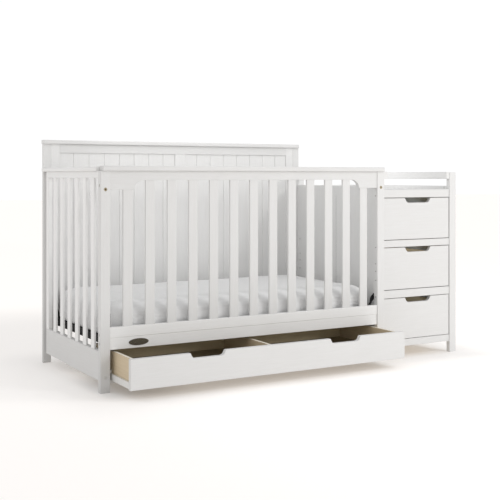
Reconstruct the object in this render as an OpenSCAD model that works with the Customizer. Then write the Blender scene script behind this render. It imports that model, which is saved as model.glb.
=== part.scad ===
// Crib with an attached changing table, an under-crib drawer and three changer drawers.
// X runs along the length, Y from the front to the back, Z up, in millimetres.
// The origin is on the floor under the middle of the box that the whole piece fills
// with its crib drawer standing open.

/* [Overall] */
// Length of the crib, from its left face to the right face of the shared front post
crib_len = 1400; // [1390:1:1420]
// Length of the changer, from the shared post to its right face
changer_len = 438; // [420:1:470]
// Distance from the front of the posts to the front of the headboard
headboard_y = 721; // [715:1:735]
// Height of the headboard with its cap
headboard_h = 1026; // [1000:1:1060]
// Height of the front posts under the cap
post_h = 880; // [870:1:884]

/* [Front] */
// Width of a front post, seen from the front
front_post_w = 41; // [38:1:44]
// Depth of a front post
front_post_d = 27; // [25:1:27]
// Height of the cap over the front rail
front_cap_h = 20; // [16:1:22]
// Underside of the front top rail
front_rail_z = 843; // [838:1:850]
// Drop of the corner brackets below the front top rail
bracket_drop = 38; // [30:1:42]
// Length of each corner bracket along the rail
bracket_len = 103; // [90:1:115]
// Number of front slats
slat_count = 13; // [13:1:14]
// Width of a front slat
slat_w = 41.5; // [36:0.5:43]
// Thickness of a front slat
slat_t = 10; // [9:1:12]

/* [Left end] */
// Number of slats in the left end
end_slat_count = 6; // [6:1:7]
// Width of a slat in the left end
end_slat_w = 36; // [32:1:38]
// Underside of the left end's bottom rail
end_rail_z = 53; // [50:1:60]

/* [Headboard] */
// Thickness of the headboard frame
headboard_t = 18; // [18:1:20]
// Width of the headboard's posts
head_post_w = 37; // [35:1:39]
// Width of the stile beside each post
head_stile_w = 42; // [38:1:46]
// Width of the centre stile
head_centre_w = 56; // [50:1:60]
// Distance between the grooves of the beadboard panels
bead_pitch = 76.3; // [75:0.1:78]

/* [Drawers] */
// How far the crib drawer stands open at rest
drawer_out = 200; // [150:1:210]
// Height of the crib drawer's front
crib_drawer_h = 119; // [110:1:120]
// Depth of the finger cut-outs in the crib drawer's front
crib_cut_d = 21; // [14:1:24]
// Depth of the finger cut-outs in the changer drawers
cut_d = 22; // [16:1:26]
// Thickness of the drawer sides
side_t = 12; // [10:1:13]

/* [Mattress] */
// Thickness of the mattress
mattress_h = 145; // [110:1:150]
// Height of the mattress support's top at the position in use
support_top = 206; // [204:1:208]

/* [Hidden] */

total_len = crib_len + changer_len;
post_r = crib_len - front_post_w;          // left face of the shared front post
back_t = 739 + (headboard_y - 721) + (headboard_t - 18);   // back face of the headboard
cap_over = 12;                             // overhang of the caps front and back
// middle of the whole box with the drawer open
box_x0 = -8;
mid_x = (box_x0 + total_len) / 2;
mid_y = (back_t + cap_over - drawer_out) / 2;
foot_z = 4;                                // the posts are cut to stand on this level

rail_t0 = 3;  rail_t1 = 21;               // the front rails' faces
end_s0 = 3;    end_s1 = 27;                // the left end's faces
end_y1 = headboard_y - 35;                 // back edge of the left end's frame
stile_y0 = end_y1 - 33;

head_len = 1390 + (crib_len - 1400);       // the headboard's length
head_mid = head_len / 2;
panel_l0 = head_post_w + head_stile_w;
panel_r1 = head_len - panel_l0;
cap_h_head = 19;
head_rail_h = 40;
head_bot_z = 172;  head_bot_h = 89;

wall = 15;                                 // thickness of the changer's side panels
left_in = crib_len;                        // inner face of the changer's left panel
right_post_w = 40;  right_post_d = 23;
right_post_s = total_len - right_post_w;
right_in = right_post_s;               // inner face of the changer's right panel
panel_top = 812;
board_top = 796;  board_t = 18;

// changer drawers: underside and top edge of each front
upper_z = [561, 755.5];
middle_z = [327, 522.5];
lower_z = [92, 284.5];
drawer_s0 = crib_len + 2;  drawer_s1 = right_post_s - 3;
box_gap = 13;                              // room for a pair of slide members
box_s0 = left_in + box_gap;  box_s1 = right_in - box_gap;
box_y0 = 22;  box_y1 = 615;
box_h = 150;

// crib drawer
cd_s0 = front_post_w + 2;  cd_s1 = post_r - 2;
cd_z0 = 49;  cd_z1 = cd_z0 + crib_drawer_h;
cd_box0 = 60;  cd_box1 = crib_len - 60;
cd_y0 = -drawer_out;                       // front face as the drawer stands open
cd_side_z0 = 74;  cd_side_z1 = 163;
cd_len = 450;

mat_s0 = 49;  mat_s1 = 1349 + (crib_len - 1400);
mat_y0 = 33;  mat_y1 = headboard_y - 13.5;

hole_z = [528, 452, 417, 375];             // spare heights for the mattress support
hang_z = 298;                              // the height in use

// bolt seats: [axis, x, y, z, length], axis px = into +X, mx = into -X, py = into +Y, my = into -Y
BOLTS_LEFT = [["px", 0, 12, 822, 78], ["px", 0, 12, 233, 78], ["px", 0, 12, 198, 78]];
BOLTS_SHARED = [["mx", crib_len, 12, 822, 78], ["mx", crib_len, 12, 233, 78], ["mx", crib_len, 12, 198, 78]];
BOLTS_FOOT = [["py", 19.5, 0, 65.5, 70]];
BOLTS_BACK = [["my", 29, back_t, 840, 46], ["my", 29, back_t, 460, 46], ["my", 29, back_t, 110, 46]];
BOLTS_JOIN = [["mx", head_len + 35, back_t - 9, 840, 55], ["mx", head_len + 35, back_t - 9, 460, 55], ["mx", head_len + 35, back_t - 9, 110, 55]];
BOLTS_RIGHT = [["mx", total_len, 13, 777, 75], ["mx", total_len, 13, 73, 75], ["mx", total_len, 13, 541, 75], ["mx", total_len, 13, 305, 75]];
BOLTS = concat(BOLTS_LEFT, BOLTS_SHARED, BOLTS_FOOT, BOLTS_BACK, BOLTS_JOIN, BOLTS_RIGHT);
// barrel nuts: where along the bolt, and the axis that each barrel lies on
nut_back = 12;                             // from the bolt's tip back to the nut's centre

// cam locks: [x of the panel's face, direction into the panel, y, z]
CAMS = [for (z = [803, 430, 100]) for (y = [39, headboard_y - 34]) [right_in, 1, y, z]];

white = [0.93, 0.93, 0.92];
wood = [0.78, 0.70, 0.56];
steel = [0.12, 0.12, 0.13];
zinc = [0.62, 0.62, 0.60];
bronze = [0.28, 0.24, 0.20];
epoxy = [0.90, 0.90, 0.88];

module place() { translate([-mid_x, -mid_y, -foot_z]) children(); }

// outline of a rectangle with eased corners
function eased(w, h, r, n = 3) = [for (q = [[w - r, h - r, 0], [r, h - r, 90], [r, r, 180], [w - r, r, 270]])
  for (i = [0 : n]) [q[0] + r * cos(q[2] + 90 * i / n), q[1] + r * sin(q[2] + 90 * i / n)]];
// boards with eased long edges, given by their faces
module board_z(s0, s1, t0, t1, z0, z1, r = 1.5) translate([s0, t0, z0]) linear_extrude(z1 - z0) polygon(eased(s1 - s0, t1 - t0, r));
module board_x(s0, s1, t0, t1, z0, z1, r = 1.5) translate([s0, t0, z0]) rotate([90, 0, 90]) linear_extrude(s1 - s0) polygon(eased(t1 - t0, z1 - z0, r));
module board_y(s0, s1, t0, t1, z0, z1, r = 1.5) translate([s0, t1, z0]) rotate([90, 0, 0]) linear_extrude(t1 - t0) polygon(eased(s1 - s0, z1 - z0, r));
module slab(s0, s1, t0, t1, z0, z1) translate([s0, t0, z0]) cube([s1 - s0, t1 - t0, z1 - z0]);
// a flat shape drawn in X and Z, standing from t0 to t1
module plate_y(t0, t1) translate([0, t1, 0]) rotate([90, 0, 0]) linear_extrude(t1 - t0) children();

// puts the children's +Z along a bolt's axis, with the origin at its seat
module along(b) translate([b[1], b[2], b[3]])
  rotate(b[0] == "px" ? [0, 90, 0] : b[0] == "mx" ? [0, -90, 0] : b[0] == "py" ? [-90, 0, 0] : [90, 0, 0]) children();
module bolt_bore(b) along(b) { translate([0, 0, -1]) cylinder(d = 7, h = b[4] + 4, $fn = 24); translate([0, 0, -1]) cylinder(d = 13.4, h = 4.2, $fn = 32); }
// the cross bore for a barrel nut lies at right angles to the bolt, level
module nut_place(b) along(b) translate([0, 0, b[4] - nut_back]) rotate([90, 0, 0]) children();
module nut_place_x(b) along(b) translate([0, 0, b[4] - nut_back]) rotate([0, 90, 0]) children();
module bores(list) for (b = list) bolt_bore(b);

// ---- crib: headboard ----
module headboard_cap() color(white) place()
  board_x(1, head_len - 4, headboard_y - 12, back_t + cap_over, headboard_h - cap_h_head, headboard_h, 4);
module headboard_top_rail() color(white) place()
  board_x(head_post_w + head_stile_w, panel_r1, headboard_y, back_t, headboard_h - cap_h_head - head_rail_h, headboard_h - cap_h_head, 1);
module headboard_bottom_rail() color(white) place()
  board_x(panel_l0, panel_r1, headboard_y, back_t, head_bot_z, head_bot_z + head_bot_h, 1);
module headboard_left_post() color(white) place() difference() {
  board_z(0, head_post_w, headboard_y, back_t, foot_z, headboard_h - cap_h_head);
  bores(BOLTS_BACK);
}
module headboard_right_post() color(white) place() difference() {
  board_z(head_len - head_post_w, head_len, headboard_y, back_t, foot_z, headboard_h - cap_h_head);
  bores(BOLTS_JOIN);
}
module head_stile(s0, s1) board_z(s0, s1, headboard_y, back_t, head_bot_z, headboard_h - cap_h_head, 1);
module headboard_outer_stiles() color(white) place() {
  head_stile(head_post_w, panel_l0);
  head_stile(panel_r1, head_len - head_post_w);
}
module headboard_centre_stile() color(white) place()
  board_z(head_mid - head_centre_w / 2, head_mid + head_centre_w / 2, headboard_y, back_t, head_bot_z + head_bot_h, headboard_h - cap_h_head - head_rail_h, 1);
// a beadboard panel between s0 and s1, with V grooves counted out from the headboard's middle
module bead_panel(s0, s1, side) {
  t0 = headboard_y + 5;  t1 = t0 + 9;
  xs = [for (k = [0 : 8]) let (g = head_mid + side * (92 + bead_pitch * k)) if (g > s0 + 15 && g < s1 - 15) g];
  ys = side > 0 ? xs : [for (i = [len(xs) - 1 : -1 : 0]) xs[i]];
  pts = concat([[s0, t0]], [for (g = ys) for (d = [[-2.2, 0], [-0.4, 2.2], [0.4, 2.2], [2.2, 0]]) [g + d[0], t0 + d[1]]], [[s1, t0], [s1, t1], [s0, t1]]);
  translate([0, 0, head_bot_z + head_bot_h]) linear_extrude(headboard_h - cap_h_head - head_rail_h - head_bot_z - head_bot_h) polygon(pts);
}
module headboard_left_panel() color(white) place() bead_panel(panel_l0, head_mid - head_centre_w / 2, -1);
module headboard_right_panel() color(white) place() bead_panel(head_mid + head_centre_w / 2, panel_r1, 1);

// ---- crib: front ----
module front_left_post() color(white) place() difference() {
  board_z(0, front_post_w, 0, front_post_d, foot_z, post_h, 2);
  bores(BOLTS_LEFT);  bores(BOLTS_FOOT);
  insert_bore(21);
  for (z = concat(hole_z, [hang_z])) translate([35, front_post_d - 13, z]) rotate([-90, 0, 0]) cylinder(d = 7, h = 14, $fn = 24);
}
module shared_front_post() color(white) place() difference() {
  board_z(post_r, crib_len, 0, front_post_d, foot_z, post_h, 2);
  bores(BOLTS_SHARED);
  insert_bore(crib_len - 20);
  for (z = concat([767], hole_z, [hang_z])) translate([post_r - 2, 13, z]) rotate([0, 90, 0]) cylinder(d = 6, h = 13, $fn = 24);
  for (z = concat(hole_z, [hang_z])) translate([post_r + 6, front_post_d - 10, z]) rotate([-90, 0, 0]) cylinder(d = 7, h = 11, $fn = 24);
}
module insert_bore(s) translate([s, -1, 807]) rotate([-90, 0, 0]) { cylinder(d = 10.4, h = 18, $fn = 32); cylinder(d = 14.4, h = 2.6, $fn = 32); }
module front_cap_rail() color(white) place()
  board_x(8, crib_len - 7, -cap_over, front_post_d + 5, post_h, post_h + front_cap_h, 4);
// the top rail with a bracket at each end, its inner corner rounded
bracket_r = 42;
module front_top_rail() color(white) place() difference() {
  plate_y(rail_t0, rail_t1) {
    r = bracket_r;  za = front_rail_z;  zb = front_rail_z - bracket_drop;
    l = front_post_w;  e = post_r;
    polygon(concat(
      [[l, post_h], [l, zb]],
      [for (i = [0 : 10]) [l + bracket_len + r - r * cos(9 * i), zb + bracket_drop * sin(9 * i)]],
      [for (i = [10 : -1 : 0]) [e - bracket_len - r + r * cos(9 * i), zb + bracket_drop * sin(9 * i)]],
      [[e, zb], [e, post_h]]));
  }
  bores(BOLTS_LEFT);  bores(BOLTS_SHARED);
  nut_bores_y([BOLTS_LEFT[0], BOLTS_SHARED[0]]);
}
// barrel nut bores open on the back of the rail
module nut_bores_y(list) for (b = list) nut_place(b) translate([0, 0, -30]) cylinder(d = 10.2, h = 37, $fn = 32);
slat_gap = (post_r - front_post_w - slat_count * slat_w) / (slat_count + 1);
// a slat that meets a bracket ends under it
function slat_top(s) = s < front_post_w + bracket_len + bracket_r || s + slat_w > post_r - bracket_len - bracket_r
  ? front_rail_z - bracket_drop : front_rail_z;
module front_slats() color(white) place()
  for (i = [0 : slat_count - 1]) let (s = front_post_w + slat_gap + i * (slat_w + slat_gap))
    board_z(s, s + slat_w, rail_t0 + 1, rail_t0 + 1 + slat_t, 261, slat_top(s), 2.5);
// the bottom rail is stepped: its lower part stands a little behind its upper part
rail_step = 1.4;
module front_bottom_rail() color(white) place() difference() {
  translate([front_post_w, 0, 0]) rotate([90, 0, 90]) linear_extrude(post_r - front_post_w)
    polygon([[rail_t0 + rail_step, 172], [rail_t1, 172], [rail_t1, 260], [rail_t1 - 1, 261], [rail_t0 + 1.2, 261],
             [rail_t0, 259.8], [rail_t0, 219.8], [rail_t0 + 0.8, 219], [rail_t0 + rail_step, 219]]);
  bores(BOLTS_LEFT);  bores(BOLTS_SHARED);
  nut_bores_y([BOLTS_LEFT[1], BOLTS_LEFT[2], BOLTS_SHARED[1], BOLTS_SHARED[2]]);
}
// a blank oval plate on the lower rail, slightly domed by two steps
module oval_plate() color(bronze) place() translate([164, rail_t0 + rail_step, 195]) rotate([90, 0, 0]) {
  linear_extrude(1.4) polygon([for (i = [0 : 47]) [43 * cos(i * 7.5), 14 * sin(i * 7.5)]]);
  translate([0, 0, 1.4]) linear_extrude(0.8) polygon([for (i = [0 : 47]) [40.5 * cos(i * 7.5), 11.8 * sin(i * 7.5)]]);
}

// ---- crib: left end ----
module left_end_cap() color(white) place()
  board_y(box_x0, 34, front_post_d + 5, headboard_y, 880, 896, 3);
module left_end_top_rail() color(white) place()
  board_y(end_s0, end_s1, front_post_d, end_y1, 852, 880, 1);
module left_end_bottom_rail() color(white) place() difference() {
  board_y(end_s0, end_s1, front_post_d, end_y1, end_rail_z, 167, 1);
  bores(BOLTS_FOOT);
  for (b = BOLTS_FOOT) nut_place_x(b) translate([0, 0, -7]) cylinder(d = 10.2, h = 30, $fn = 32);
}
module left_end_back_stile() color(white) place()
  board_z(end_s0, 21, stile_y0, end_y1, 167, 852, 1);
// the corner post stands behind the frame's back edge and takes the bolts from the headboard
module left_end_corner_post() color(white) place() difference() {
  union() {
    slab(21, 44, end_y1 - 22, headboard_y, 167, 852);
    slab(27, 44, end_y1 - 22, headboard_y, 53, 880);
    slab(21, 44, end_y1, headboard_y, 53, 880);
  }
  bores(BOLTS_BACK);
  for (b = BOLTS_BACK) nut_place_x(b) translate([0, 0, -7]) cylinder(d = 10.2, h = 30, $fn = 32);
  for (z = concat(hole_z, [hang_z])) translate([30, fr_y1 - 12, z]) rotate([0, 90, 0]) cylinder(d = 7, h = 20, $fn = 24);
}
end_gap = (stile_y0 - front_post_d - end_slat_count * end_slat_w) / (end_slat_count + 1);
module left_end_slats() color(white) place()
  for (i = [0 : end_slat_count - 1]) let (t = front_post_d + end_gap + i * (end_slat_w + end_gap))
    board_z(5, 15, t, t + end_slat_w, 167, 852, 2.5);

// ---- mattress support ----
fr_s0 = 54;  fr_s1 = crib_len - 66;  fr_y0 = 30;  fr_y1 = headboard_y - 9;
// a rectangle of steel angle, its upright leg outside
module mattress_support_frame() color(steel) place() {
  z1 = support_top;  z0 = z1 - 29;
  difference() { slab(fr_s0, fr_s1, fr_y0, fr_y1, z0, z1); slab(fr_s0 + 3, fr_s1 - 3, fr_y0 + 3, fr_y1 - 3, z0 - 1, z1 + 1); }
  difference() { slab(fr_s0 + 2.5, fr_s1 - 2.5, fr_y0 + 2.5, fr_y1 - 2.5, z1 - 3, z1); slab(fr_s0 + 28, fr_s1 - 28, fr_y0 + 28, fr_y1 - 28, z1 - 4, z1 + 1); }
  for (s = [fr_s0 + (fr_s1 - fr_s0) / 3, fr_s0 + 2 * (fr_s1 - fr_s0) / 3]) difference() {
    slab(s - 15, s + 15, fr_y0 + 2.5, fr_y1 - 2.5, z0 + 6, z1 - 12);
    slab(s - 12, s + 12, fr_y0, fr_y1, z0, z1 - 15);
  }
}
// lengthwise and crosswise wires that carry the mattress
module mattress_support_springs() color(steel) place() {
  z = support_top - 5.2;
  for (i = [0 : 8]) translate([fr_s0 + 20, fr_y0 + 60 + i * (fr_y1 - fr_y0 - 120) / 8, z]) rotate([0, 90, 0]) cylinder(d = 4, h = fr_s1 - fr_s0 - 40, $fn = 16);
  for (i = [0 : 11]) translate([fr_s0 + 70 + i * (fr_s1 - fr_s0 - 140) / 11, fr_y0 + 20, z - 3.6]) rotate([-90, 0, 0]) cylinder(d = 4, h = fr_y1 - fr_y0 - 40, $fn = 16);
}
// hangers that carry the frame's corners: each has a hook under the frame and is bolted to the crib
hook_z0 = support_top - 33;  hook_z1 = support_top - 29;
module mattress_support_hangers() color(steel) place() {
  // front left, behind the post
  difference() {
    slab(27.2, 52, front_post_d, front_post_d + 3, hook_z0, 312);
    translate([35, front_post_d - 1, hang_z]) rotate([-90, 0, 0]) cylinder(d = 7, h = 5, $fn = 24);
  }
  slab(27.2, 84, front_post_d + 3, front_post_d + 29, hook_z0, hook_z1);
  // front right, a cranked plate behind the shared post
  difference() {
    plate_y(front_post_d, front_post_d + 3) translate([post_r, 0]) polygon([[13, 314], [-2, 314], [-8, 307], [-16, 301], [-20, 295],
      [-21, 286], [-23, 275], [-31, 262], [-34, 254], [-69, 250], [-69, hook_z0], [-10, hook_z0], [-10, 252], [-17, 262], [-11, 275],
      [-3, 284], [13, 284]]);
    translate([post_r + 6, front_post_d - 1, hang_z]) rotate([-90, 0, 0]) cylinder(d = 7, h = 5, $fn = 24);
  }
  slab(post_r - 69, post_r - 10, front_post_d + 3, front_post_d + 29, hook_z0, hook_z1);
  // back left on the corner post, back right on the changer's panel
  for (h = [[44.1, 1, 38], [left_in - wall - 0.1, -1, 66]]) {
    x1 = h[0] + h[1] * 3;  x2 = h[0] + h[1] * h[2];
    difference() {
      slab(min(h[0], x1), max(h[0], x1), fr_y1 - 24, fr_y1 + 3, hang_z - 16, 314);
      translate([h[0] - 10, fr_y1 - 12, hang_z]) rotate([0, 90, 0]) cylinder(d = 7, h = 20, $fn = 24);
    }
    plate_y(fr_y1, fr_y1 + 3) translate([h[0], 0]) polygon([for (p = [[0, 314], [3, 314], [6, 300], [24, 245], [h[2] - 4, 212],
      [h[2], 206], [h[2], hook_z0], [0, hook_z0]]) [h[1] * p[0], p[1]]]);
    slab(min(h[0], x2), max(h[0], x2), fr_y1 - 26, fr_y1, hook_z0, hook_z1);
  }
}
// a low round head with a hexagon socket
module hex_head(d, h) difference() { cylinder(d = d, h = h, $fn = 32); translate([0, 0, h - 2]) cylinder(d = 5, h = 3, $fn = 6); }

// ---- changer: carcass ----
module changer_left_panel() color(white) place() difference() {
  slab(left_in - wall, left_in, front_post_d, headboard_y, 57, panel_top);
  // joint between the panel's two boards
  slab(left_in - wall - 1, left_in - wall + 1.6, 368.5, 370.5, 57, 764);
  for (z = concat(hole_z, [hang_z])) translate([left_in - wall - 1, fr_y1 - 12, z]) rotate([0, 90, 0]) cylinder(d = 7, h = 12, $fn = 24);
}
module changer_right_panel() color(white) place() difference() {
  slab(right_in, right_in + wall, right_post_d, headboard_y - 5, 57, panel_top);
  for (c = CAMS) translate([c[0] - 0.1, c[2], c[3]]) rotate([0, 90, 0]) cylinder(d = 12.4, h = 12.6, $fn = 32);
}
module changer_back_panel() color(white) place()
  slab(head_len + 35, right_post_s, headboard_y, headboard_y + 5, 57, panel_top);
module changer_top_board() color(white) place() slab(left_in, right_in, 22, headboard_y, board_top - board_t, board_top);
module changer_rail(z0, z1) board_x(crib_len, right_post_s, 4, 22, z0, z1, 1.2);
module changer_front_top_rail() color(white) place() difference() { changer_rail(758.5, board_top); bores([BOLTS_RIGHT[0]]); nut_bores_y([BOLTS_RIGHT[0]]); }
module changer_upper_mid_rail() color(white) place() difference() { changer_rail(525.5, 558); bores([BOLTS_RIGHT[2]]); nut_bores_y([BOLTS_RIGHT[2]]); }
module changer_lower_mid_rail() color(white) place() difference() { changer_rail(287, 324); bores([BOLTS_RIGHT[3]]); nut_bores_y([BOLTS_RIGHT[3]]); }
module changer_bottom_rail() color(white) place() difference() { changer_rail(57, 89.5); bores([BOLTS_RIGHT[1]]); nut_bores_y([BOLTS_RIGHT[1]]); }
module changer_front_right_post() color(white) place() difference() {
  board_z(right_post_s, total_len, 0, right_post_d, foot_z, 878, 2);
  bores(BOLTS_RIGHT);
}
module changer_back_right_post() color(white) place()
  board_z(right_post_s, total_len, headboard_y - 5, back_t, foot_z, 878, 2);
module changer_back_left_post() color(white) place() difference() {
  board_z(head_len, head_len + 35, headboard_y, back_t, foot_z, 878, 1.5);
  bores(BOLTS_JOIN);
}
module changer_side_guards() color(white) place() {
  board_y(left_in, left_in + 18, 2, headboard_y, 846, 880, 3);
  board_y(right_post_s - 18, right_post_s, 2, headboard_y, 846, 880, 3);
}
module changer_back_guard() color(white) place()
  board_x(head_len + 35, right_post_s, headboard_y, back_t, 846, 880, 3);

// ---- fasteners ----
// a connector bolt: flat head with a hexagon socket, and its shank
module bolt(b) along(b) {
  translate([0, 0, 3.1]) rotate([180, 0, 0]) hex_head(12.6, 3);
  translate([0, 0, 3]) cylinder(d = 6, h = b[4] - 5, $fn = 24);
}
module frame_bolts() color(zinc) place() { for (b = BOLTS) bolt(b); hanger_bolts(); }
// short bolts that hold the hangers, with low heads
module hanger_bolt() { translate([0, 0, 0.2]) hex_head(11, 3.2); translate([0, 0, -12]) cylinder(d = 6, h = 12.3, $fn = 24); }
module hanger_bolts() {
  translate([35, front_post_d + 3, hang_z]) rotate([-90, 0, 0]) hanger_bolt();
  translate([post_r + 6, front_post_d + 3, hang_z]) rotate([-90, 0, 0]) hanger_bolt();
  translate([47.1, fr_y1 - 12, hang_z]) rotate([0, 90, 0]) hanger_bolt();
  translate([left_in - wall - 3.1, fr_y1 - 12, hang_z]) rotate([0, -90, 0]) hanger_bolt();
}
module barrel() translate([0, 0, -7]) difference() { cylinder(d = 10, h = 14, $fn = 32); translate([0, 0, 7]) rotate([90, 0, 0]) cylinder(d = 6.1, h = 20, center = true, $fn = 24); }
module barrel_nuts() color(zinc) place() {
  for (b = concat(BOLTS_LEFT, BOLTS_SHARED, BOLTS_RIGHT)) nut_place(b) barrel();
  for (b = concat(BOLTS_FOOT, BOLTS_BACK)) nut_place_x(b) rotate([0, 0, 90]) barrel();
}
module cam_locks() color(zinc) place()
  for (c = CAMS) translate([c[0], c[2], c[3]]) rotate([0, 90, 0]) difference() {
    cylinder(d = 12, h = 12, $fn = 32);
    translate([-4, -0.7, -1]) cube([8, 1.4, 2.5]);
  }
// flanged sleeves for the guard rail of a later conversion
module post_inserts() color(zinc) place() for (s = [21, crib_len - 20])
  translate([s, 0, 807]) rotate([-90, 0, 0]) difference() {
    union() { cylinder(d = 14, h = 1.4, $fn = 32); cylinder(d = 10, h = 15, $fn = 32); }
    translate([0, 0, -1]) cylinder(d = 6, h = 12, $fn = 24);
  }

// ---- slides ----
slide_len = 550;
slide_y0 = 32;
function slide_z(zr) = zr[0] + 62;         // centre height of a drawer's slides
// a fixed channel on the panel, open towards the drawer
module cabinet_member(sface, dir, zc) translate([0, slide_y0 + slide_len, 0]) rotate([90, 0, 0]) linear_extrude(slide_len)
  polygon([for (p = [[0, -18], [11, -18], [11, -16.4], [1.4, -16.4], [1.4, 16.4], [11, 16.4], [11, 18], [0, 18]]) [sface + dir * p[0], zc + p[1]]]);
// the drawer's channel, nested in the fixed one with play all round
module drawer_member(bface, dir, zc) translate([0, slide_y0 + slide_len - 2, 0]) rotate([90, 0, 0]) linear_extrude(slide_len - 4)
  polygon([for (p = [[0, -15.6], [10.6, -15.6], [10.6, -14.2], [1.4, -14.2], [1.4, 14.2], [10.6, 14.2], [10.6, 15.6], [0, 15.6]]) [bface + dir * p[0], zc + p[1]]]);
module changer_cabinet_slides() color(epoxy) place()
  for (zr = [upper_z, middle_z, lower_z]) { cabinet_member(left_in, 1, slide_z(zr)); cabinet_member(right_in, -1, slide_z(zr)); }
module drawer_slide_members(zr) { drawer_member(box_s0, -1, slide_z(zr)); drawer_member(box_s1, 1, slide_z(zr)); }
module drawer_slide_members_upper() color(epoxy) place() drawer_slide_members(upper_z);
module drawer_slide_members_middle() color(epoxy) place() drawer_slide_members(middle_z);
module drawer_slide_members_lower() color(epoxy) place() drawer_slide_members(lower_z);

// ---- changer drawers ----
// a finger cut-out: top width wt, bottom width wb, depth d, with rounded foot corners
function cut_pts(c, ztop, wt, wb, d, r = 12, n = 6) =
  let (a = atan2(d, (wt - wb) / 2), k = r * tan(a / 2))
  concat([[c - wt / 2, ztop + 1], [c - wt / 2, ztop]],
    [for (i = [0 : n]) let (th = -90 - a + a * i / n) [c - wb / 2 + k + r * cos(th), ztop - d + r + r * sin(th)]],
    [for (i = [0 : n]) let (th = -90 + a * i / n) [c + wb / 2 - k + r * cos(th), ztop - d + r + r * sin(th)]],
    [[c + wt / 2, ztop], [c + wt / 2, ztop + 1]]);
module drawer_front(zr) plate_y(4, box_y0) difference() {
  translate([drawer_s0, zr[0]]) square([drawer_s1 - drawer_s0, zr[1] - zr[0]]);
  polygon(cut_pts((drawer_s0 + drawer_s1) / 2 + 4.5, zr[1], 157, 130, cut_d, 18));
}
// sides, back and inner front of one box, with its thin bottom in a groove
module drawer_box(zr) {
  z0 = zr[0] + 12;  z1 = z0 + box_h;
  difference() {
    slab(box_s0, box_s1, box_y0, box_y1, z0, z1);
    slab(box_s0 + side_t, box_s1 - side_t, box_y0 + side_t, box_y1 - side_t, z0 + 14, z1 + 1);
    slab(box_s0 + side_t, box_s1 - side_t, box_y0 + side_t, box_y1 - side_t, z0 - 1, z0 + 10);
  }
}
module upper_drawer_front() color(white) place() drawer_front(upper_z);
module upper_drawer_box() color(wood) place() drawer_box(upper_z);
module middle_drawer_front() color(white) place() drawer_front(middle_z);
module middle_drawer_box() color(wood) place() drawer_box(middle_z);
module lower_drawer_front() color(white) place() drawer_front(lower_z);
module lower_drawer_box() color(wood) place() drawer_box(lower_z);

// ---- crib drawer ----
cd_t0 = cd_y0 + 18;                        // back of the drawer's front
cd_t1 = cd_t0 + cd_len;
module crib_drawer_front() color(white) place() plate_y(cd_y0, cd_t0) difference() {
  translate([cd_s0, cd_z0]) square([cd_s1 - cd_s0, cd_z1 - cd_z0]);
  for (c = [crib_len / 2 - 326, crib_len / 2 + 336]) polygon(cut_pts(c, cd_z1, 157, 136, crib_cut_d, 18));
}
module cd_side(s0) difference() {
  slab(s0, s0 + side_t, cd_t0, cd_t1, cd_side_z0, cd_side_z1);
}
module crib_drawer_sides() color(wood) place() { cd_side(cd_box0); cd_side(cd_box1 - side_t); }
module crib_drawer_back() color(wood) place()
  slab(cd_box0 + side_t, cd_box1 - side_t, cd_t1 - side_t, cd_t1, cd_side_z0, cd_side_z1 - 6);
module crib_drawer_divider() color(wood) place()
  slab(688, 700, cd_t0, cd_t1 - side_t, cd_side_z0 + 8, cd_side_z1 - 4);
module crib_drawer_bottom() color(wood) place()
  slab(cd_box0 + side_t, cd_box1 - side_t, cd_t0, cd_t1 - side_t, cd_side_z0 + 4, cd_side_z0 + 8);
// runners under the sides, with a tongue that reaches out into the guides
module crib_drawer_runners() color(epoxy) place() {
  slab(cd_box0 - 9, cd_box0 + side_t, cd_t0, cd_t1, cd_z0, cd_side_z0);
  slab(cd_box1 - side_t, cd_box1 + 9, cd_t0, cd_t1, cd_z0, cd_side_z0);
}
// C-shaped guides on the left end and on the changer's panel
module crib_drawer_guides() color(white) place() {
  for (g = [[end_s1, 1, cd_box0], [left_in - wall, -1, cd_box1]])
    translate([0, 484, 0]) rotate([90, 0, 0]) linear_extrude(484 - front_post_d - 1)
      polygon([for (p = [[0, 34], [abs(g[2] + g[1] * side_t - g[0]), 34], [abs(g[2] + g[1] * side_t - g[0]), 48.2], [14, 48.2],
        [14, 75.2], [abs(g[2] - g[1] * 1.5 - g[0]), 75.2], [abs(g[2] - g[1] * 1.5 - g[0]), 88], [0, 88]]) [g[0] + g[1] * p[0], p[1]]]);
}

// ---- mattress ----
module mattress() color([0.95, 0.95, 0.94]) place() translate([mat_s0, mat_y0, support_top + 0.5])
  linear_extrude(mattress_h) polygon(eased(mat_s1 - mat_s0, mat_y1 - mat_y0, 45, 6));

headboard_cap();
headboard_top_rail();
headboard_bottom_rail();
headboard_left_post();
headboard_right_post();
headboard_outer_stiles();
headboard_centre_stile();
headboard_left_panel();
headboard_right_panel();
front_left_post();
shared_front_post();
front_cap_rail();
front_top_rail();
front_slats();
front_bottom_rail();
oval_plate();
left_end_cap();
left_end_top_rail();
left_end_bottom_rail();
left_end_back_stile();
left_end_corner_post();
left_end_slats();
mattress_support_frame();
mattress_support_springs();
mattress_support_hangers();
changer_left_panel();
changer_right_panel();
changer_back_panel();
changer_top_board();
changer_front_top_rail();
changer_upper_mid_rail();
changer_lower_mid_rail();
changer_bottom_rail();
changer_front_right_post();
changer_back_right_post();
changer_back_left_post();
changer_side_guards();
changer_back_guard();
frame_bolts();
barrel_nuts();
cam_locks();
post_inserts();
changer_cabinet_slides();
crib_drawer_guides();
crib_drawer_front();
crib_drawer_sides();
crib_drawer_back();
crib_drawer_divider();
crib_drawer_bottom();
crib_drawer_runners();
upper_drawer_front();
upper_drawer_box();
middle_drawer_front();
middle_drawer_box();
lower_drawer_front();
lower_drawer_box();
drawer_slide_members_upper();
drawer_slide_members_middle();
drawer_slide_members_lower();
mattress();
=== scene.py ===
import math
import bpy
import bmesh
from mathutils import Vector, Matrix, noise


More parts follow.
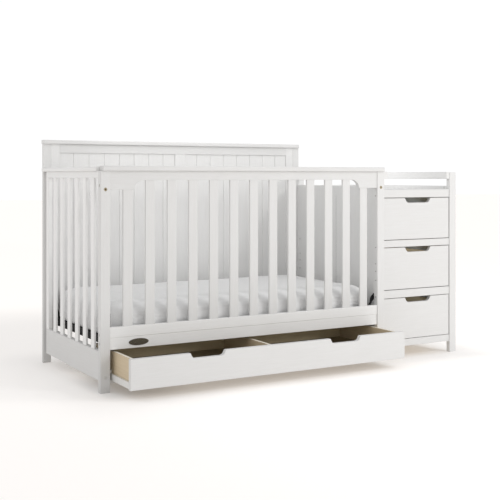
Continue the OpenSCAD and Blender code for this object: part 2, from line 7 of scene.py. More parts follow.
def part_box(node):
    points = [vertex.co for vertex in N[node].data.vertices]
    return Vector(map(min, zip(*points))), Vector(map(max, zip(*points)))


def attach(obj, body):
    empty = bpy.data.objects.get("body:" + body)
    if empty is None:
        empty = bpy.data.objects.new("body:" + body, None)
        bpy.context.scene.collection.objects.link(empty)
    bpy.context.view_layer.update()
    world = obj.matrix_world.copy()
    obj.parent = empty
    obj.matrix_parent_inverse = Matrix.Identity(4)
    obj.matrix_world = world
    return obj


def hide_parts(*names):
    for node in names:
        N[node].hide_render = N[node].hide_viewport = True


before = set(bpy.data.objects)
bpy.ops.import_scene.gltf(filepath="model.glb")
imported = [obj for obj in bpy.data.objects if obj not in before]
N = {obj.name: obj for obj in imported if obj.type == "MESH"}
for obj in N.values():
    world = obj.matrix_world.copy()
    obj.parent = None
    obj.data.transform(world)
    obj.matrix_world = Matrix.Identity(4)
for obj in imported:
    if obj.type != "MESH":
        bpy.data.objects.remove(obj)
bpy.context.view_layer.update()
scene = bpy.context.scene

# drawing coordinates of the part, in millimetres, to the row frame in metres
MX, MY, FZ = 915.0, 275.5, 4.0


def P(s, t, z):
    return Vector(((s - MX) / 1000, (t - MY) / 1000, (z - FZ) / 1000))


# ---------------------------------------------------------------- camera
cam_data = bpy.data.cameras.new("photo_camera")
cam = bpy.data.objects.new("photo_camera", cam_data)
scene.collection.objects.link(cam)
cam_data.sensor_fit = "HORIZONTAL"
cam_data.sensor_width = 36.0
cam_data.lens = 955.5 / 500 * 36.0
cam_data.shift_x = 0.0
cam_data.shift_y = -74.0 / 500
cam_data.clip_start = 0.05
cam_data.clip_end = 60.0
cam.location = (-2.279, -3.8196, 0.856)
cam.rotation_euler = (math.radians(90), 0, -math.atan2(0.4991, 0.8665))
scene.camera = cam

# ---------------------------------------------------------------- node helpers


class Mat:
    """A small helper that adds nodes to a material."""

    def __init__(self, name):
        self.m = bpy.data.materials.new(name)
        self.m.use_nodes = True
        self.nt = self.m.node_tree
        for n in list(self.nt.nodes):
            self.nt.nodes.remove(n)
        self.out = self.add("ShaderNodeOutputMaterial")
        self.b = self.add("ShaderNodeBsdfPrincipled")
        self.link(self.b.outputs["BSDF"], self.out.inputs["Surface"])
        self.tc = self.add("ShaderNodeTexCoord")

    def add(self, kind, **kw):
        n = self.nt.nodes.new(kind)
        for k, v in kw.items():
            setattr(n, k, v)
        return n

    def link(self, a, b):
        self.nt.links.new(a, b)

    def mapping(self, scale, rot=(0, 0, 0), loc=(0, 0, 0)):
        mp = self.add("ShaderNodeMapping")
        mp.inputs["Scale"].default_value = scale
        mp.inputs["Rotation"].default_value = rot
        mp.inputs["Location"].default_value = loc
        self.link(self.tc.outputs["Object"], mp.inputs["Vector"])
        return mp.outputs["Vector"]

    def noise(self, vec, scale, detail=4.0, rough=0.55, dist=0.0):
        n = self.add("ShaderNodeTexNoise")
        n.inputs["Scale"].default_value = scale
        n.inputs["Detail"].default_value = detail
        n.inputs["Roughness"].default_value = rough
        n.inputs["Distortion"].default_value = dist
        self.link(vec, n.inputs["Vector"])
        return n.outputs["Fac"]

    def ramp(self, fac, stops):
        r = self.add("ShaderNodeValToRGB")
        el = r.color_ramp.elements
        while len(el) < len(stops):
            el.new(0.5)
        for e, (p, c) in zip(el, stops):
            e.position = p
            e.color = tuple(c) + (1,) if len(c) == 3 else c
        self.link(fac, r.inputs["Fac"])
        return r.outputs["Color"]

    def rng(self, fac, a, b, c, d):
        r = self.add("ShaderNodeMapRange")
        for k, v in zip(("From Min", "From Max", "To Min", "To Max"), (a, b, c, d)):
            r.inputs[k].default_value = v
        self.link(fac, r.inputs["Value"])
        return r.outputs["Result"]

    def math(self, op, a, b=None):
        m = self.add("ShaderNodeMath", operation=op)
        for i, v in enumerate((a, b)):
            if v is None:
                continue
            if isinstance(v, (int, float)):
                m.inputs[i].default_value = v
            else:
                self.link(v, m.inputs[i])
        return m.outputs["Value"]

    def mix(self, fac, a, b, blend="MIX"):
        m = self.add("ShaderNodeMix", data_type="RGBA", blend_type=blend)
        for s, v in ((m.inputs["Factor"], fac), (m.inputs["A"], a), (m.inputs["B"], b)):
            if isinstance(v, (int, float)):
                s.default_value = v
            elif isinstance(v, tuple):
                s.default_value = v if len(v) == 4 else v + (1,)
            else:
                self.link(v, s)
        return m.outputs["Result"]

    # Mix's colour sockets share their names with the float ones, so they are picked by type
    def mixc(self, fac, a, b, blend="MIX"):
        m = self.add("ShaderNodeMix", data_type="RGBA", blend_type=blend)
        ins = [s for s in m.inputs if s.type == "RGBA"]
        f = [s for s in m.inputs if s.type == "VALUE"][0]
        outs = [s for s in m.outputs if s.type == "RGBA"]
        for s, v in ((f, fac), (ins[0], a), (ins[1], b)):
            if isinstance(v, (int, float)):
                s.default_value = v
            elif isinstance(v, tuple):
                s.default_value = v if len(v) == 4 else v + (1,)
            else:
                self.link(v, s)
        return outs[0]

    def bump(self, height, strength, distance, normal=None):
        b = self.add("ShaderNodeBump")
        b.inputs["Strength"].default_value = strength
        b.inputs["Distance"].default_value = distance
        self.link(height, b.inputs["Height"])
        if normal is not None:
            self.link(normal, b.inputs["Normal"])
        return b.outputs["Normal"]

    def soft_edges(self, radius, samples=4):
        b = self.add("ShaderNodeBevel", samples=samples)
        b.inputs["Radius"].default_value = radius
        return b.outputs["Normal"]

    def edge_mask(self, radius, lo, hi, samples=4):
        """White near outer edges: where the rounded normal leaves the flat one."""
        b = self.add("ShaderNodeBevel", samples=samples)
        b.inputs["Radius"].default_value = radius
        g = self.add("ShaderNodeNewGeometry")
        d = self.add("ShaderNodeVectorMath", operation="DOT_PRODUCT")
        self.link(b.outputs["Normal"], d.inputs[0])
        self.link(g.outputs["True Normal"], d.inputs[1])
        return self.rng(d.outputs["Value"], lo, hi, 1.0, 0.0)

    def set(self, name, v):
        s = self.b.inputs[name]
        if isinstance(v, (int, float)):
            s.default_value = v
        elif isinstance(v, tuple):
            s.default_value = v if len(v) == 4 else v + (1,)
        else:
            self.link(v, s)


AXES = {"x": (0.06, 1.0, 1.0), "y": (1.0, 0.06, 1.0), "z": (1.0, 1.0, 0.06)}


def paint(name, axis, base=(0.735, 0.733, 0.727), seed=0.0, foot_shade=1.0, hollow_shade=False):
    """Satin white paint over wood or board: the grain shows faintly through it along the board.
    Below 0.30 m it's greyer towards the floor, by the factor foot_shade at 0.06 m and below: painted shade on the
    lower parts.
    With hollow_shade, small holes and narrow joints are painted dark inside by an occlusion mask: painted shade in the
    hollows."""
    m = Mat(name)
    along = m.mapping(AXES[axis], loc=(seed, seed * 0.7, seed * 1.3))
    grain = m.noise(along, 190.0, 5.0, 0.6, 0.4)
    pores = m.noise(m.mapping(tuple(v if v < 1 else 3.0 for v in AXES[axis])), 420.0, 2.0, 0.5)
    cloud = m.noise(m.mapping((1, 1, 1)), 3.1, 3.0, 0.5)
    peel = m.noise(m.mapping((1, 1, 1)), 520.0, 2.0, 0.5)
    tone = m.ramp(cloud, [(0.3, tuple(c * 0.982 for c in base)), (0.7, base)])
    fine = m.ramp(grain, [(0.28, (0.968, 0.966, 0.961)), (0.62, (1.0, 1.0, 1.0))])
    col = m.mixc(1.0, tone, fine, "MULTIPLY")
    # painted shade: the paint is greyed towards the floor below 0.30 m
    if foot_shade < 1.0:
        high = m.add("ShaderNodeSeparateXYZ")
        m.link(m.tc.outputs["Object"], high.inputs[0])
        low_shade = m.ramp(m.rng(high.outputs["Z"], 0.06, 0.30, 0.0, 1.0), [(0.0, (foot_shade, foot_shade, foot_shade)), (1.0, (1.0, 1.0, 1.0))])
        col = m.mixc(1.0, col, low_shade, "MULTIPLY")
    edge = m.edge_mask(0.0016, 0.80, 0.985)
    chips = m.math("MULTIPLY", edge, m.rng(m.noise(m.mapping((1, 1, 1)), 46.0, 6.0, 0.7), 0.54, 0.66, 0.0, 1.0))
    col = m.mixc(m.math("MULTIPLY", chips, 0.5), col, (0.70, 0.685, 0.65))
    if hollow_shade:
        # painted shade: an occlusion mask darkens the insides of holes and narrow joints
        hollow_ao = m.add("ShaderNodeAmbientOcclusion", samples=12, only_local=True)
        hollow_ao.inputs["Distance"].default_value = 0.009
        col = m.mixc(m.rng(hollow_ao.outputs["AO"], 0.18, 0.45, 1.0, 0.0), col, (0.05, 0.046, 0.04))
    m.set("Base Color", col)
    m.set("Roughness", m.rng(peel, 0.3, 0.7, 0.36, 0.46))
    m.set("Specular IOR Level", 0.42)
    h = m.math("ADD", m.math("MULTIPLY", grain, 0.65), m.math("ADD", m.math("MULTIPLY", pores, 0.35), m.math("MULTIPLY", peel, 0.25)))
    m.set("Normal", m.bump(h, 0.12, 0.0006, m.soft_edges(0.0014)))
    return m.m


def bare_wood(name, axis, base=(0.73, 0.61, 0.43), dark=(0.54, 0.425, 0.28)):
    """Clear-coated pale plywood with its grain along the board, and its faces that look up painted paler: painted
    light on its top edges.
    """
    m = Mat(name)
    sc = {"x": (0.035, 1.0, 1.0), "y": (1.0, 0.035, 1.0)}[axis]
    v = m.mapping(sc)
    rings = m.noise(v, 60.0, 6.0, 0.62, 1.2)
    fine = m.noise(m.mapping(tuple(a if a < 1 else 4.0 for a in sc)), 330.0, 3.0, 0.6)
    wide = m.noise(m.mapping((1, 1, 1)), 4.0, 2.0, 0.5)
    col = m.ramp(rings, [(0.25, dark), (0.45, tuple((a + b) / 2 for a, b in zip(dark, base))), (0.62, base), (0.8, tuple(min(1, c * 1.1) for c in base))])
    col = m.mixc(0.5, col, m.ramp(fine, [(0.3, tuple(c * 0.78 for c in base)), (0.6, base)]), "MIX")
    col = m.mixc(0.22, col, m.ramp(wide, [(0.3, dark), (0.7, base)]), "MIX")
    # painted light: faces that look up are mixed towards a paler tone
    up = m.add("ShaderNodeSeparateXYZ")
    m.link(m.tc.outputs["Normal"], up.inputs[0])
    col = m.mixc(m.rng(up.outputs["Z"], 0.7, 0.95, 0.0, 0.75), col, m.ramp(fine, [(0.3, (0.74, 0.70, 0.62)), (0.6, (0.86, 0.83, 0.75))]))
    m.set("Base Color", col)
    m.set("Roughness", m.rng(fine, 0.3, 0.7, 0.42, 0.58))
    m.set("Normal", m.bump(m.math("ADD", rings, fine), 0.12, 0.0006, m.soft_edges(0.001)))
    return m.m


def hardboard(name):
    """Smooth brown hardboard: fine fibres pressed flat."""
    m = Mat(name)
    fib = m.noise(m.mapping((1, 1, 1)), 240.0, 6.0, 0.7, 2.0)
    wide = m.noise(m.mapping((1, 1, 1)), 9.0, 3.0, 0.5)
    col = m.ramp(fib, [(0.3, (0.23, 0.178, 0.099)), (0.5, (0.31, 0.242, 0.137)), (0.72, (0.385, 0.308, 0.185))])
    col = m.mixc(0.35, col, m.ramp(wide, [(0.3, (0.235, 0.18, 0.107)), (0.7, (0.335, 0.263, 0.157))]))
    m.set("Base Color", col)
    m.set("Roughness", m.rng(wide, 0.3, 0.7, 0.40, 0.55))
    m.set("Normal", m.bump(fib, 0.1, 0.0004, m.soft_edges(0.0006)))
    return m.m


def black_steel(name):
    """Black powder coat with its fine texture and worn bright edges."""
    m = Mat(name)
    tex = m.noise(m.mapping((1, 1, 1)), 900.0, 3.0, 0.6)
    wide = m.noise(m.mapping((1, 1, 1)), 30.0, 4.0, 0.6)
    edge = m.edge_mask(0.0007, 0.78, 0.98)
    wear = m.math("MULTIPLY", edge, m.rng(wide, 0.5, 0.62, 0.0, 1.0))
    col = m.ramp(wide, [(0.3, (0.005, 0.005, 0.006)), (0.7, (0.012, 0.012, 0.013))])
    m.set("Base Color", m.mixc(m.math("MULTIPLY", wear, 0.6), col, (0.30, 0.30, 0.31)))
    m.set("Metallic", m.math("MULTIPLY", wear, 0.7))
    m.set("Roughness", m.rng(tex, 0.3, 0.7, 0.42, 0.6))
    m.set("Specular IOR Level", 0.18)
    m.set("Normal", m.bump(tex, 0.25, 0.0003, m.soft_edges(0.0007)))
    return m.m


def zinc(name):
    m = Mat(name)
    v = m.mapping((0.2, 1.0, 1.0))
    br = m.noise(v, 700.0, 3.0, 0.6)
    wide = m.noise(m.mapping((1, 1, 1)), 40.0, 4.0, 0.6)
    m.set("Base Color", m.ramp(wide, [(0.3, (0.50, 0.50, 0.49)), (0.7, (0.66, 0.66, 0.64))]))
    m.set("Metallic", 1.0)
    m.set("Roughness", m.rng(br, 0.3, 0.7, 0.30, 0.48))
    m.set("Normal", m.bump(br, 0.15, 0.0002, m.soft_edges(0.0005)))
    return m.m


def bronze(name, k=1.0):
    """Dark bronze lacquer with a hammered field, and its rim rubbed brighter. k lightens it."""
    m = Mat(name)
    ham = m.noise(m.mapping((1, 1, 1)), 330.0, 3.0, 0.55, 0.6)
    wide = m.noise(m.mapping((1, 1, 1)), 60.0, 4.0, 0.6)
    edge = m.edge_mask(0.0012, 0.80, 0.985)
    col = m.ramp(ham, [(0.35, (0.046 * k, 0.038 * k, 0.025 * k)), (0.55, (0.078 * k, 0.066 * k, 0.043 * k)), (0.75, (0.14 * k, 0.118 * k, 0.080 * k))])
    m.set("Base Color", m.mixc(m.math("MULTIPLY", edge, m.rng(wide, 0.35, 0.65, 0.05, 0.45)), col, (0.26, 0.20, 0.14)))
    m.set("Metallic", 0.35)
    m.set("Roughness", m.rng(wide, 0.3, 0.7, 0.38, 0.55))
    m.set("Normal", m.bump(ham, 0.5, 0.0005, m.soft_edges(0.0009)))
    return m.m


def epoxy(name):
    """White epoxy coat on rolled steel, scuffed where the members run."""
    m = Mat(name)
    v = m.mapping((1.0, 0.02, 1.0))
    scuff = m.noise(v, 420.0, 4.0, 0.7)
    wide = m.noise(m.mapping((1, 1, 1)), 18.0, 4.0, 0.6)
    k = m.math("MULTIPLY", m.rng(scuff, 0.55, 0.68, 0.0, 1.0), m.rng(wide, 0.4, 0.6, 0.1, 0.5))
    m.set("Base Color", m.mixc(k, (0.77, 0.77, 0.75), (0.52, 0.52, 0.51)))
    m.set("Roughness", m.rng(scuff, 0.3, 0.7, 0.22, 0.38))
    m.set("Normal", m.bump(scuff, 0.08, 0.0003, m.soft_edges(0.0007)))
    return m.m


def plastic(name):
    m = Mat(name)
    tex = m.noise(m.mapping((1, 1, 1)), 800.0, 2.0, 0.5)
    wide = m.noise(m.mapping((1, 1, 1)), 12.0, 3.0, 0.5)
    rub = m.noise(m.mapping((1.0, 0.02, 1.0)), 300.0, 3.0, 0.6)
    m.set("Base Color", m.mixc(m.rng(rub, 0.5, 0.7, 0.0, 0.35), m.ramp(wide, [(0.3, (0.74, 0.735, 0.71)), (0.7, (0.79, 0.785, 0.765))]), (0.62, 0.61, 0.58)))
    m.set("Roughness", m.rng(tex, 0.3, 0.7, 0.45, 0.6))
    m.set("Normal", m.bump(tex, 0.1, 0.0003, m.soft_edges(0.0008)))
    return m.m


def cotton(name, base=(0.80, 0.80, 0.80)):
    """Plain woven cotton sheet."""
    m = Mat(name)

    def threads(scale, rot):
        w = m.add("ShaderNodeTexWave", wave_type="BANDS", bands_direction="X", wave_profile="SIN")
        w.inputs["Scale"].default_value = scale
        w.inputs["Distortion"].default_value = 0.6
        w.inputs["Detail"].default_value = 1.0
        w.inputs["Detail Scale"].default_value = 2.0
        m.link(m.mapping((1, 1, 1), rot=rot), w.inputs["Vector"])
        return w.outputs["Fac"]

    wx = threads(420.0, (0, 0, 0))
    wy = threads(420.0, (0, 0, math.pi / 2))
    wz = threads(420.0, (0, math.pi / 2, 0))
    weave = m.math("ADD", m.math("MULTIPLY", wx, wy), m.math("MULTIPLY", wz, 0.5))
    slub = m.noise(m.mapping((0.15, 1, 1)), 260.0, 4.0, 0.6)
    wide = m.noise(m.mapping((1, 1, 1)), 5.0, 3.0, 0.5)
    col = m.mixc(1.0, m.ramp(wide, [(0.3, tuple(c * 0.97 for c in base)), (0.7, base)]), m.ramp(slub, [(0.3, (0.965, 0.965, 0.965)), (0.6, (1, 1, 1))]), "MULTIPLY")
    col = m.mixc(0.10, col, m.ramp(weave, [(0.2, tuple(c * 0.6 for c in base)), (0.9, base)]))
    m.set("Base Color", col)
    m.set("Roughness", 0.9)
    m.set("Specular IOR Level", 0.2)
    m.set("Sheen Weight", 0.25)
    m.set("Sheen Roughness", 0.5)
    soft = m.noise(m.mapping((1, 1, 1)), 22.0, 3.0, 0.5)
    m.set("Normal", m.bump(weave, 0.25, 0.0003, m.bump(soft, 0.25, 0.003)))
    return m.m


# The white paint's base tone differs from node to node, as lit and shaded copies of one paint: painted light where it
# is raised above 0.735 (pb, pk, pw, pe, pt), painted shade where it is lowered (fx, fz, pd, pp, ph, pf); pf and pg are
# also painted darker towards the floor.
M = {
    "px": paint("white_paint_x", "x"),
    "fx": paint("white_paint_x_front_painted_shade", "x", base=(0.702, 0.70, 0.694), seed=1.7),
    "fz": paint("white_paint_z_front_painted_shade", "z", base=(0.706, 0.704, 0.698), seed=10.3),
    "py": paint("white_paint_y", "y", seed=3.1),
    "pz": paint("white_paint_z", "z", seed=7.7),
    "pb": paint("white_paint_x_rail_painted_light", "x", base=(0.82, 0.818, 0.812), seed=5.2),
    "pd": paint("white_paint_y_low_painted_shade", "y", base=(0.685, 0.683, 0.677), seed=4.4),
    "pp": paint("white_paint_z_panel_painted_shade", "z", base=(0.715, 0.713, 0.707), seed=8.8, hollow_shade=True),
    "ph": paint("white_paint_z_post_painted_shade", "z", base=(0.718, 0.716, 0.71), seed=7.7, hollow_shade=True),
    "pk": paint("white_paint_z_back_painted_light", "z", base=(0.788, 0.786, 0.78), seed=2.9),
    "pw": paint("white_paint_z_join_painted_light", "z", base=(0.87, 0.868, 0.862), seed=6.1),
    "pe": paint("white_paint_z_end_painted_light", "z", base=(0.855, 0.853, 0.847), seed=9.4),
    "pt": paint("white_paint_y_top_painted_light", "y", base=(0.825, 0.823, 0.817), seed=11.3),
    "pf": paint("white_paint_z_left_painted_shade", "z", base=(0.712, 0.71, 0.704), seed=13.6, foot_shade=0.865, hollow_shade=True),
    "pg": paint("white_paint_z_rear_foot_shade", "z", seed=12.2, foot_shade=0.82),
    # painted light: the drawer back's wood is a paler copy of the drawer wood
    "wx": bare_wood("bare_wood_x_painted_light", "x", base=(0.82, 0.705, 0.48), dark=(0.65, 0.53, 0.335)),
    "wy": bare_wood("bare_wood_y", "y"),
    "hb": hardboard("dark_hardboard"),
    "bs": black_steel("black_powder_coat"),
    "zn": zinc("zinc_plate"),
    "zd": bronze("dark_zinc", 5.0),
    "br": bronze("dark_bronze"),
    "ep": epoxy("white_epoxy"),
    "pl": plastic("white_plastic"),
    "ct": cotton("cotton_sheet"),
}

LOOK = {
    "px": ["headboard_cap", "headboard_top_rail", "headboard_bottom_rail", "changer_back_guard"],
    "fx": ["front_cap_rail", "front_top_rail", "changer_front_top_rail", "changer_upper_mid_rail",
           "changer_lower_mid_rail", "changer_bottom_rail", "crib_drawer_front", "upper_drawer_front",
           "middle_drawer_front", "lower_drawer_front"],
    "fz": ["front_slats", "changer_front_right_post"],
    "pb": ["front_bottom_rail"],
    "pe": ["left_end_back_stile", "left_end_slats"],
    "pt": ["left_end_cap", "left_end_top_rail"],
    "pf": ["front_left_post"],
    "pg": ["left_end_corner_post", "headboard_left_post"],
    "pk": ["headboard_centre_stile", "headboard_outer_stiles", "headboard_left_panel", "headboard_right_panel"],
    "pw": ["changer_back_left_post"],
    "ph": ["shared_front_post"],
    "pd": ["left_end_bottom_rail"],
    "pp": ["changer_left_panel"],
    "py": ["changer_side_guards", "changer_top_board"],
    "pz": ["headboard_right_post", "changer_right_panel", "changer_back_panel", "changer_back_right_post"],
    "wx": ["crib_drawer_back"],
    "wy": ["crib_drawer_sides", "crib_drawer_divider", "upper_drawer_box", "middle_drawer_box", "lower_drawer_box"],
    "hb": ["crib_drawer_bottom"],
    "bs": ["mattress_support_frame", "mattress_support_springs", "mattress_support_hangers"],
    "zn": ["frame_bolts", "barrel_nuts", "cam_locks"],
    "zd": ["post_inserts"],
    "br": ["oval_plate"],
    "ep": ["changer_cabinet_slides", "drawer_slide_members_upper", "drawer_slide_members_middle", "drawer_slide_members_lower"],
    "pl": ["crib_drawer_guides", "crib_drawer_runners"],
    "ct": ["mattress"],
}
for key, names in LOOK.items():
    for n in names:
        o = N[n]
        o.data.materials.clear()
        o.data.materials.append(M[key])


# ---------------------------------------------------------------- mattress
def new_object(name, bm, mat):
    me = bpy.data.meshes.new(name)
    bm.to_mesh(me)
    bm.free()
    o = bpy.data.objects.new(name, me)
    scene.collection.objects.link(o)
    me.materials.append(mat)
    return o


def smooth(o):
    for p in o.data.polygons:
        p.use_smooth = True


def rounded_loop(hx, hy, r, per, step=0.014):
    """Points round a rectangle with round corners, per points a corner and evenly along the sides."""
    pts = []
    for cx, cy, a0 in ((hx - r, hy - r, 0), (-hx + r, hy - r, 90), (-hx + r, -hy + r, 180), (hx - r, -hy + r, 270)):
        for i in range(per + 1):
            a = math.radians(a0 + 90 * i / per)
            pts.append((cx + r * math.cos(a), cy + r * math.sin(a)))
    out = []
    n = len(pts)
    for i in range(n):
        a, b = pts[i], pts[(i + 1) % n]
        k = max(1, round(math.dist(a, b) / step))
        for j in range(k):
            f = j / k
            out.append((a[0] + (b[0] - a[0]) * f, a[1] + (b[1] - a[1]) * f))
    return out


def smoothstep(a, b, v):
    f = min(1.0, max(0.0, (v - a) / (b - a)))
    return f * f * (3 - 2 * f)


def apply_all(o):
    """Replace the object's mesh with its evaluated one, so that no modifier is left on it."""
    dg = bpy.context.evaluated_depsgraph_get()
    me = bpy.data.meshes.new_from_object(o.evaluated_get(dg), depsgraph=dg)
    o.modifiers.clear()
    o.data = me


lo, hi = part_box("mattress")
lo, hi = Vector(lo), Vector(hi)
mid = (lo + hi) / 2
hx, hy = (hi.x - lo.x) / 2, (hi.y - lo.y) / 2
zb, zt = lo.z, hi.z
H = zt - zb


def mattress_blank(shrink, shrink_y, drop):
    """A plain rounded block, a little smaller all round and drop lower on top: what the simulation swells."""
    bm = bmesh.new()
    h = H - drop
    R, r = 0.036, 0.020
    prof = [(r * (1 - math.sin(math.radians(15 * i))), r * (1 - math.cos(math.radians(15 * i)))) for i in range(7)]
    prof += [(0.0, r + (h - R - r) * i / 8) for i in range(1, 8)]
    prof += [(R * (1 - math.cos(math.radians(11.25 * i))), h - R + R * math.sin(math.radians(11.25 * i))) for i in range(9)]
    rows = []
    n = None
    for inset, z in prof:
        loop = rounded_loop(hx - inset - shrink, hy - inset - shrink_y, 0.056 - 0.3 * inset, 8)
        n = n or len(loop)
        row = []
        for i in range(n):
            f = i * len(loop) / n
            a, b = loop[int(f) % len(loop)], loop[(int(f) + 1) % len(loop)]
            w = f - int(f)
            row.append(bm.verts.new((mid.x + a[0] + (b[0] - a[0]) * w, mid.y + a[1] + (b[1] - a[1]) * w, zb + z)))
        rows.append(row)
    for r0, r1 in zip(rows, rows[1:]):
        for i in range(n):
            bm.faces.new((r0[i], r0[(i + 1) % n], r1[(i + 1) % n], r1[i]))
    bm.faces.new(rows[-1])
    bm.faces.new(list(reversed(rows[0])))
    return bm


def sheet_height(p):
    """How far the fitted sheet stands off the mattress at a point: folds that fan from its tucked
    corners, ripples that the elastic under the edge draws up its sides, and slack over the top."""
    out = 0.0
    side = min(hx - abs(p.x - mid.x), hy - abs(p.y - mid.y))
    up = (p.z - zb) / H
    for k, (sx, sy) in enumerate(((-1, -1), (1, -1), (1, 1), (-1, 1))):
        dx, dy = (mid.x + sx * (hx - 0.02) - p.x) * sx, (mid.y + sy * (hy - 0.02) - p.y) * sy
        d = math.sqrt(dx * dx + dy * dy + (0.6 * (zt - p.z)) ** 2)
        if d < 0.36:
            a = math.atan2(dy + 0.02, dx + 0.02) + 1.6 * (1 - up)
            w = math.sin(a * 19.0 + 2.4 * noise.noise(Vector((d * 6.0, a * 1.5, k * 7.3))))
            out += 0.0011 * (1 - abs(w) ** 0.8 * 1.2) * (1 - smoothstep(0.06, 0.36, d)) * smoothstep(0.0, 0.07, d)
    if side < 0.05 and up < 0.75:
        q = (p.x - mid.x) if hy - abs(p.y - mid.y) < hx - abs(p.x - mid.x) else (p.y - mid.y) + 3.0
        w = noise.noise(Vector((q * 24.0 + 0.5 * up, up * 1.4, 2.0))) + 0.5 * noise.noise(Vector((q * 55.0, up * 2.2, 9.0)))
        out += 0.0021 * w * (1 - smoothstep(0.12, 0.75, up))
    if up > 0.6:
        u = (p.x - mid.x) + 0.35 * (p.y - mid.y)
        v = (p.y - mid.y) - 0.2 * (p.x - mid.x)
        w = noise.noise(Vector((u * 3.1, v * 8.0, 4.0)))
        ridge = (1 - abs(w) * 3.2) if abs(w) < 0.31 else 0.0
        out += 0.0013 * ridge ** 2 * smoothstep(-0.1, 0.35, noise.noise(Vector((u * 2.3, v * 2.3, 11.0)))) * smoothstep(0.6, 0.95, up)
    return out


def make_mattress():
    """A mattress in its fitted sheet, swollen by a cloth simulation from a smaller block."""
    o = new_object("mattress_sheeted", mattress_blank(0.007, 0.0015, 0.010), M["ct"])
    rm = o.modifiers.new("voxels", "REMESH")
    rm.mode = "VOXEL"
    rm.voxel_size = 0.006
    bpy.context.view_layer.update()
    apply_all(o)
    rest = [v.co.copy() for v in o.data.vertices]
    # what lies on the frame stays where it is, and the sheet is tucked in under the lower edge
    hold = o.vertex_groups.new(name="hold")
    for i, c in enumerate(rest):
        w = 1.0 - smoothstep(zb + 0.006, zb + 0.034, c.z)
        if w > 0:
            hold.add([i], w, "REPLACE")
    cl = o.modifiers.new("sheet", "CLOTH")
    st = cl.settings
    st.quality = 4
    st.mass = 0.25
    st.tension_stiffness = 14.0
    st.compression_stiffness = 14.0
    st.shear_stiffness = 5.0
    st.bending_stiffness = 0.25
    st.use_pressure = True
    st.uniform_pressure_force = 4.0
    st.vertex_group_mass = "hold"
    st.pin_stiffness = 1.0
    st.effector_weights.gravity = 0.0
    cl.collision_settings.use_collision = False
    cl.collision_settings.use_self_collision = False
    cl.point_cache.frame_start = 1
    cl.point_cache.frame_end = 24
    for f in range(1, 21):
        scene.frame_set(f)
    apply_all(o)
    # the filling is firm: the further a point was blown, the more it is held back, up to 15 mm
    cap = 0.015
    for v, r0 in zip(o.data.vertices, rest):
        d = v.co - r0
        v.co = r0 + d * (cap / (cap + d.length))
        # its border along the front and back is firm as well and stands upright
        firm = smoothstep(hy - 0.09, hy - 0.03, abs(v.co.y - mid.y)) * smoothstep(zb + 0.03, zb + 0.09, v.co.z)
        v.co.y += math.copysign(0.006 * firm * (1 - smoothstep(zt - 0.045, zt - 0.005, v.co.z)), v.co.y - mid.y)
    scene.frame_set(1)
    sub = o.modifiers.new("finer", "SUBSURF")
    sub.levels = sub.render_levels = 1
    apply_all(o)
    nor = [v.normal.copy() for v in o.data.vertices]
    for v, n in zip(o.data.vertices, nor):
        if v.co.z > zb + 0.012:
            v.co += n * sheet_height(v.co)
        # flat where the frame carries it: no point sinks below the mattress's bottom
        v.co.z = max(v.co.z, zb)
    smooth(o)
    return o


mat_obj = make_mattress()
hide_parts("mattress")
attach(mat_obj, "crib_mattress")


# ---------------------------------------------------------------- floor and light
bm = bmesh.new()
S = 30.0
vs = [bm.verts.new((x * S, y * S, 0.0)) for x, y in ((-1, -1), (1, -1), (1, 1), (-1, 1))]
bm.faces.new(vs)
fm = Mat("pale_floor")
fw = fm.noise(fm.mapping((1, 1, 1)), 1.4, 4.0, 0.5)
fm.set("Base Color", fm.ramp(fw, [(0.3, (0.685, 0.69, 0.70)), (0.7, (0.695, 0.70, 0.71))]))
fm.set("Roughness", 0.75)
fm.set("Specular IOR Level", 0.1)
fm.set("Emission Color", (1.0, 0.93, 0.865))          # the floor glows: painted light that lifts its shadows and whitens it away from the piece
xyz = fm.add("ShaderNodeSeparateXYZ")
fm.link(fm.tc.outputs["Object"], xyz.inputs[0])
fx, fy = xyz.outputs["X"], xyz.outputs["Y"]
# how far a point of the floor lies from the piece's outline
ox = fm.math("MAXIMUM", fm.math("SUBTRACT", fm.math("ABSOLUTE", fx), 0.90), 0.0)
oy = fm.math("MAXIMUM", fm.math("SUBTRACT", fm.math("ABSOLUTE", fy), 0.455), 0.0)
off = fm.math("SQRT", fm.math("ADD", fm.math("MULTIPLY", ox, ox), fm.math("MULTIPLY", oy, oy)))


def ease(value, a, b, top):
    r = fm.add("ShaderNodeMapRange", interpolation_type="SMOOTHSTEP")
    for k, v in zip(("From Min", "From Max", "To Min", "To Max"), (a, b, 0.0, top)):
        r.inputs[k].default_value = v
    fm.link(value, r.inputs["Value"])
    return r.outputs["Result"]


# the glow is painted light, strongest in front, behind and to the right, and weakest under the piece, where it is
# painted shade
slant = fm.math("ADD", fy, fm.math("MULTIPLY", fm.math("MINIMUM", fm.math("ADD", fx, 0.72), 0.0), 0.577))
ahead = fm.math("MULTIPLY", slant, -1.0)
# painted light: a band of stronger glow just in front of the drawer, from the left to the middle
painted_light_band = fm.math("MULTIPLY", fm.math("SUBTRACT", ease(ahead, 0.34, 0.47, 1.0), ease(ahead, 0.55, 0.85, 0.6)), ease(fx, -1.05, -0.25, 1.0))
front = fm.math("ADD", ease(ahead, 0.42, 0.64, 0.065), fm.math("MULTIPLY", painted_light_band, 0.12))
back = ease(fy, 1.45, 2.5, 0.15)
right = ease(fx, 0.85, 1.2, 0.16)
bright = fm.math("MAXIMUM", front, fm.math("MAXIMUM", back, right))
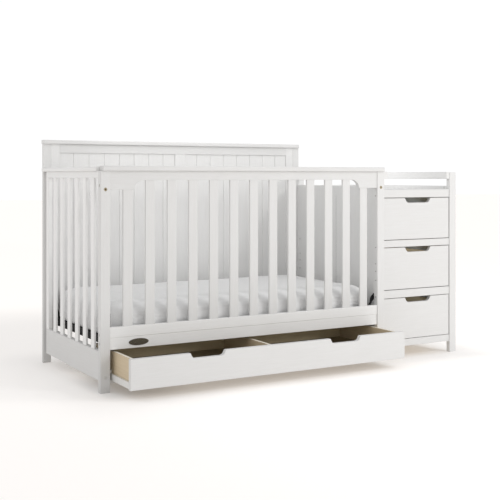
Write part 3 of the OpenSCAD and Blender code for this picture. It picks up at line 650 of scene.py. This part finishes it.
# painted shadow: the glow is cut under the drawer's left end
painted_shadow_left = fm.math("MULTIPLY", fm.math("SUBTRACT", 0.11, ease(fx, -0.76, -0.5, 0.11)), fm.math("SUBTRACT", 1.0, ease(off, 0.0, 0.06, 1.0)))
painted_shadow_left = fm.math("MULTIPLY", painted_shadow_left, fm.math("SUBTRACT", ease(fy, -0.44, -0.33, 1.0), ease(fy, -0.12, 0.12, 1.0)))
fm.set("Emission Strength", fm.math("ADD", fm.math("ADD", ease(off, 0.0, 0.35, 0.07), fm.math("SUBTRACT", 0.315, painted_shadow_left)), bright))
floor = new_object("studio_floor", bm, fm.m)

world = bpy.data.worlds.new("studio")
scene.world = world
world.use_nodes = True
wt = world.node_tree
bg = wt.nodes["Background"]
bg.inputs["Color"].default_value = (1.0, 1.0, 1.0, 1)
bg.inputs["Strength"].default_value = 0.69
seen = wt.nodes.new("ShaderNodeBackground")    # the white backdrop as the camera sees it
seen.inputs["Color"].default_value = (1.0, 1.0, 1.0, 1)
seen.inputs["Strength"].default_value = 1.02
path = wt.nodes.new("ShaderNodeLightPath")
both = wt.nodes.new("ShaderNodeMixShader")
wt.links.new(path.outputs["Is Camera Ray"], both.inputs[0])
wt.links.new(bg.outputs[0], both.inputs[1])
wt.links.new(seen.outputs[0], both.inputs[2])
wt.links.new(both.outputs[0], wt.nodes["World Output"].inputs["Surface"])

scene.view_settings.view_transform = "Standard"
scene.view_settings.look = "None"
scene.view_settings.exposure = 0.0
scene.view_settings.gamma = 1.0


def area(name, direction, dist, target, w, h, power, color=(1, 1, 1)):
    """An area light that shines along direction onto target from dist away."""
    d = Vector(direction).normalized()
    data = bpy.data.lights.new(name, "AREA")
    data.shape = "RECTANGLE"
    data.size, data.size_y = w, h
    data.energy = power
    data.color = color
    o = bpy.data.objects.new(name, data)
    scene.collection.objects.link(o)
    o.location = Vector(target) - d * dist
    o.visible_camera = False
    o.rotation_euler = d.to_track_quat("-Z", "Y").to_euler()
    return o


area("key_high", (-1.0, 1.49, -1.09), 6.0, (0.1, 0.2, 0.4), 0.6, 0.6, 42.0)
area("key_low", (-0.5, 1.0, -0.26), 7.0, (0.1, 0.1, 0.4), 0.7, 0.7, 34.0)
area("box_right", (-0.5, 1.0, -0.35), 3.0, (0.9, -0.2, 0.5), 1.8, 1.8, 13.5)
area("over_crib", (1.0, 0.1, -0.75), 1.5, (0.82, 0.15, 0.86), 0.9, 1.2, 4.4)
area("left_top", (1.0, 0.15, -0.7), 0.9, (-0.92, 0.2, 0.85), 0.6, 0.6, 1.2)
area("over_changer", (1.0, 0.0, -0.3), 0.33, (0.865, 0.2, 0.84), 0.45, 0.10, 0.5)
# a little light inside the changer, so that its drawers aren't black through their finger cut-outs
for node_name, power, tint in (("upper_drawer_box", 0.185, (0.86, 0.95, 1.0)), ("middle_drawer_box", 0.165, (0.92, 0.975, 1.0)),
                               ("lower_drawer_box", 0.082, (0.85, 0.94, 1.0))):
    a_, b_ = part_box(node_name)
    area("inside_" + node_name, (0.0, 0.25, -1.0), 0.01, ((a_[0] + b_[0]) / 2, a_[1] + 0.20, b_[2] + 0.012), 0.30, 0.16, power, tint)
